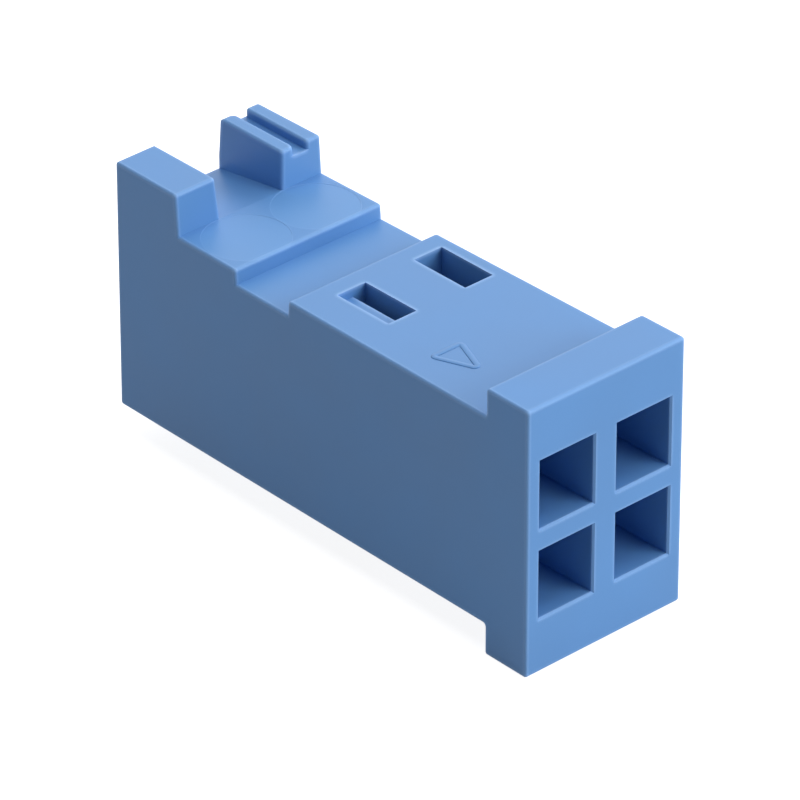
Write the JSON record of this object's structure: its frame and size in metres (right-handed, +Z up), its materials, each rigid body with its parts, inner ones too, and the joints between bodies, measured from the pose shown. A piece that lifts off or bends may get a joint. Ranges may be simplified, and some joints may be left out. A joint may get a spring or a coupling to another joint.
{
  "type": "connector contact housing",
  "caption": "Rectangular moulded housing for a board and cable connector, with a flanged face of square contact cavities and keying blocks on top.",
  "frame": {"origin": "under the middle of the bounding box, at the height of the flange's lowest edge", "axes": "+X along the housing towards the flanged face with the large square cavities, +Y across its width, +Z up towards the keying blocks"},
  "size_m": [0.0152, 0.0052, 0.0079],
  "materials": {
    "housing": "moulded, satin"
  },
  "bodies": {
    "root": {"housing": "housing"}
  },
  "joints": []
}
